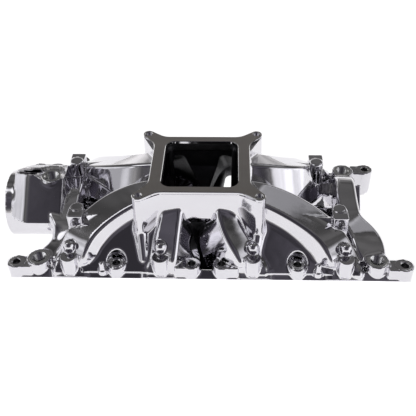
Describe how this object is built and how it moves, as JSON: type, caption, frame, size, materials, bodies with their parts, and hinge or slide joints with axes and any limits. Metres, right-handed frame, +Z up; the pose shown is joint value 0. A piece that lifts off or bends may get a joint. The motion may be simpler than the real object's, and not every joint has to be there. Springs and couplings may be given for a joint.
{
  "type": "intake manifold",
  "caption": "Polished aluminium V8 single-plane intake manifold: square four-stud carburettor pad, open plenum, swept runners to angled head faces, coolant crossovers and thermostat neck.",
  "frame": {"origin": "middle of the base, under the middle of the overall length and width; the carburettor pad's centre is 2.7 mm towards the thermostat neck", "axes": "+Z up, X along the crankshaft with the thermostat neck at -X, near bank at -Y"},
  "size_m": [0.5138, 0.218, 0.1535],
  "materials": {
    "polished_casting": "mirror polished casting",
    "machined_face": "milled flat",
    "as_cast": "sand cast"
  },
  "bodies": {
    "root": {"carb_flange": "machined_face", "plenum_box": "polished_casting", "stud_column_front_near": "polished_casting", "stud_column_rear_near": "polished_casting", "stud_column_front_far": "polished_casting", "stud_column_rear_far": "polished_casting", "runner_near_1": "polished_casting", "injector_boss_near_1": "polished_casting", "runner_near_2": "polished_casting", "injector_boss_near_2": "polished_casting", "runner_near_3": "polished_casting", "injector_boss_near_3": "polished_casting", "runner_near_4": "polished_casting", "injector_boss_near_4": "polished_casting", "runner_far_1": "polished_casting", "injector_boss_far_1": "polished_casting", "runner_far_2": "polished_casting", "injector_boss_far_2": "polished_casting", "runner_far_3": "polished_casting", "injector_boss_far_3": "polished_casting", "runner_far_4": "polished_casting", "injector_boss_far_4": "polished_casting", "head_flange_near_1": "polished_casting", "head_flange_near_2": "polished_casting", "head_flange_near_3": "polished_casting", "head_flange_near_4": "polished_casting", "peg_near_front": "polished_casting", "peg_near_rear": "polished_casting", "rail_post_near_front": "polished_casting", "web_plate_near_front": "polished_casting", "coolant_boss_near_front": "polished_casting", "rail_post_near_rear": "polished_casting", "web_plate_near_rear": "polished_casting", "coolant_boss_near_rear": "polished_casting", "head_flange_far_1": "polished_casting", "head_flange_far_2": "polished_casting", "head_flange_far_3": "polished_casting", "head_flange_far_4": "polished_casting", "peg_far_front": "polished_casting", "peg_far_rear": "polished_casting", "rail_post_far_front": "polished_casting", "web_plate_far_front": "polished_casting", "coolant_boss_far_front": "polished_casting", "rail_post_far_rear": "polished_casting", "web_plate_far_rear": "polished_casting", "coolant_boss_far_rear": "polished_casting", "thermostat_neck": "polished_casting", "neck_ear_near": "polished_casting", "neck_ear_far": "polished_casting", "sensor_boss": "polished_casting", "coolant_arm_near": "polished_casting", "coolant_arm_far": "polished_casting", "rear_crossover": "polished_casting", "valley_floor": "as_cast", "end_rail_front": "as_cast", "end_rail_rear": "as_cast"}
  },
  "joints": []
}
